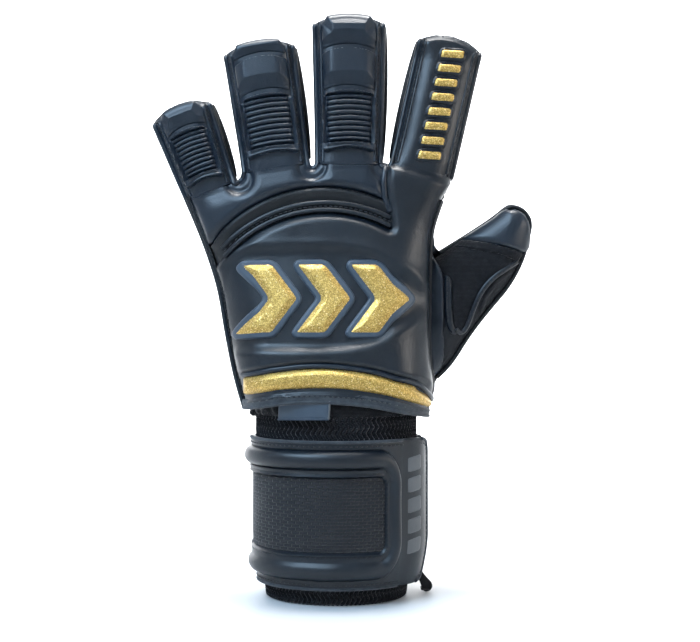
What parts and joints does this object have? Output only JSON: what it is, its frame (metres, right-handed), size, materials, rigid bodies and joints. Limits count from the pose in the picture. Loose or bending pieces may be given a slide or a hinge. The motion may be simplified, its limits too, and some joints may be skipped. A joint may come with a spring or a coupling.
{
  "type": "goalkeeper glove",
  "caption": "Left goalkeeper glove with padded ribbed finger backs, latex palm, knit cuff and a wrap-around wrist strap with hook and loop closure.",
  "frame": {"origin": "centre of the base, on the surface that the cuff rim stands on", "axes": "+Z from the cuff to the fingertips, +X towards the thumb, -Y the back of the hand, +Y the palm"},
  "size_m": [0.18, 0.0681, 0.2758],
  "materials": {
    "blue_black_panel": "satin coated foam",
    "steel_blue_panel": "satin coated foam",
    "palm_latex": "matte latex foam",
    "black_knit": "ribbed knit",
    "black_mesh": "open mesh",
    "grey_hem": "woven tape, stitched",
    "gold_print": "metallic flake print",
    "black_webbing": "woven webbing",
    "hook_and_loop": "hook and loop",
    "foam": "foam with fleece face"
  },
  "bodies": {
    "glove": {"cuff_rim": "black_knit", "knit_sleeve": "black_knit", "wrist_fabric": "black_knit", "strap_wrap": "blue_black_panel", "loop_patch": "hook_and_loop", "back_panel": "blue_black_panel", "knuckle_crescent": "palm_latex", "knuckle_band": "steel_blue_panel", "back_foam": "foam", "back_hem": "grey_hem", "gold_bar": "gold_print", "emblem": "gold_print", "label_tab": "black_webbing", "palm_latex": "palm_latex", "palm_lining": "foam", "little_finger_side": "blue_black_panel", "thumb_side": "steel_blue_panel", "finger_webs": "palm_latex"},
    "strap": {"strap_body": "blue_black_panel", "strap_mesh": "black_mesh", "strap_tab": "steel_blue_panel", "hook_patch": "hook_and_loop"},
    "pull_tail": {"pull_tail": "black_webbing"},
    "pinky": {"pinky_back": "blue_black_panel", "pinky_foam": "foam", "pinky_palm": "palm_latex", "pinky_gusset": "palm_latex", "pinky_flex_pad": "steel_blue_panel", "pinky_tip_pad": "steel_blue_panel"},
    "ring": {"ring_back": "blue_black_panel", "ring_foam": "foam", "ring_palm": "palm_latex", "ring_gusset": "palm_latex", "ring_flex_pad": "steel_blue_panel", "ring_mid_pad": "steel_blue_panel", "ring_tip_pad": "steel_blue_panel"},
    "middle": {"middle_back": "blue_black_panel", "middle_foam": "foam", "middle_palm": "palm_latex", "middle_gusset": "palm_latex", "middle_flex_pad": "steel_blue_panel", "middle_mid_pad": "steel_blue_panel", "middle_tip_pad": "steel_blue_panel"},
    "index": {"index_back": "blue_black_panel", "index_foam": "foam", "index_palm": "palm_latex", "index_gusset": "blue_black_panel", "index_relief": "gold_print"},
    "thumb": {"thumb_mesh": "black_mesh", "thumb_hood": "steel_blue_panel", "thumb_palm": "palm_latex", "thumb_gusset": "palm_latex"}
  },
  "joints": [
    {"name": "pinky_flex", "type": "hinge", "parent": "glove", "child": "pinky", "pos_m": [-0.062, 0.013, 0.189], "axis": [-0.9367, 0, -0.3502], "range_deg": [0, 70], "stiffness_Nm_per_rad": 0.12},
    {"name": "ring_flex", "type": "hinge", "parent": "glove", "child": "ring", "pos_m": [-0.0313, 0.013, 0.1997], "axis": [-0.9893, 0, -0.1461], "range_deg": [0, 70], "stiffness_Nm_per_rad": 0.12},
    {"name": "middle_flex", "type": "hinge", "parent": "glove", "child": "middle", "pos_m": [0.0025, 0.013, 0.2015], "axis": [-1, 0, 0], "range_deg": [0, 70], "stiffness_Nm_per_rad": 0.12},
    {"name": "index_flex", "type": "hinge", "parent": "glove", "child": "index", "pos_m": [0.0363, 0.013, 0.1987], "axis": [-0.9744, 0, 0.225], "range_deg": [0, 70], "stiffness_Nm_per_rad": 0.12},
    {"name": "thumb_flex", "type": "hinge", "parent": "glove", "child": "thumb", "pos_m": [0.0451, 0.0232, 0.132], "axis": [0, 0, 1], "range_deg": [0, 50], "stiffness_Nm_per_rad": 0.12},
    {"name": "strap_open", "type": "hinge", "parent": "glove", "child": "strap", "pos_m": [-0.0455, 0, 0.0415], "axis": [0, 0, -1], "range_deg": [0, 110]},
    {"name": "tail_swing", "type": "hinge", "parent": "glove", "child": "pull_tail", "pos_m": [0.0343, 0.0045, 0.0132], "axis": [0, -1, 0], "range_deg": [0, 50]}
  ]
}
